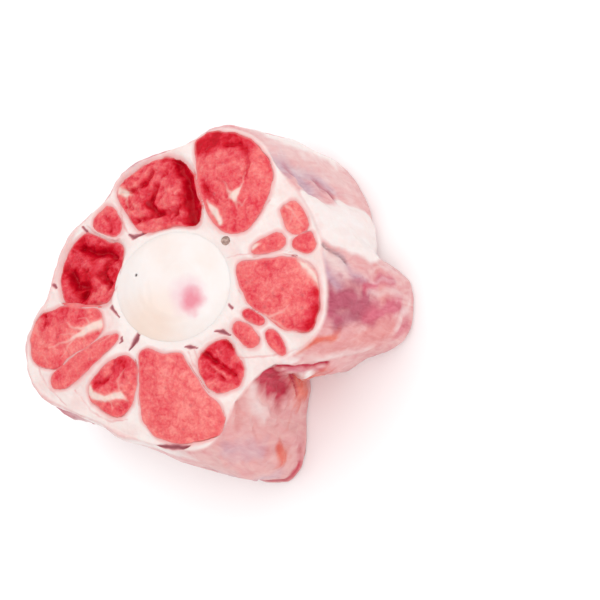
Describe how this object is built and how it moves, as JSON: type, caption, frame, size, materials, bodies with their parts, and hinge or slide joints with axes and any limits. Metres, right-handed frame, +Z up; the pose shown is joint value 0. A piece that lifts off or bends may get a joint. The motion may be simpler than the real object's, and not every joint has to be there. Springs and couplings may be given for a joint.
{
  "type": "raw oxtail piece",
  "caption": "Thick slice across a raw beef tail, with a ring of red muscles set in pale fat round a white bony joint.",
  "frame": {"origin": "centre of the bottom of the bounding box, on the surface that the piece lies on", "axes": "+Z up along the tail, from the hidden cut face to the shown one; +X towards the side with the deep cleft"},
  "size_m": [0.1292, 0.123, 0.06],
  "materials": {
    "fat": "moist, satin, pinkish cream",
    "bone": "smooth, wet, pearly white",
    "nerve": "soft, grey-brown",
    "muscle": "moist, grained, salmon red",
    "dark_muscle": "wet, torn, dark crimson"
  },
  "bodies": {
    "root": {"fat_jacket": "fat", "vertebra": "bone", "spinal_cord": "nerve", "muscle_top_round": "muscle", "muscle_upper_left": "dark_muscle", "muscle_left_small": "muscle", "muscle_left_hollow": "dark_muscle", "muscle_lower_left": "muscle", "muscle_lower_finger": "muscle", "muscle_lower_mottled": "muscle", "muscle_bottom_large": "muscle", "muscle_bottom_dark": "dark_muscle", "muscle_slip_inner": "muscle", "muscle_slip_middle": "muscle", "muscle_slip_outer": "muscle", "muscle_right_large": "muscle", "muscle_right_wedge": "muscle", "muscle_right_bead": "muscle", "muscle_right_upper": "muscle"}
  },
  "joints": []
}
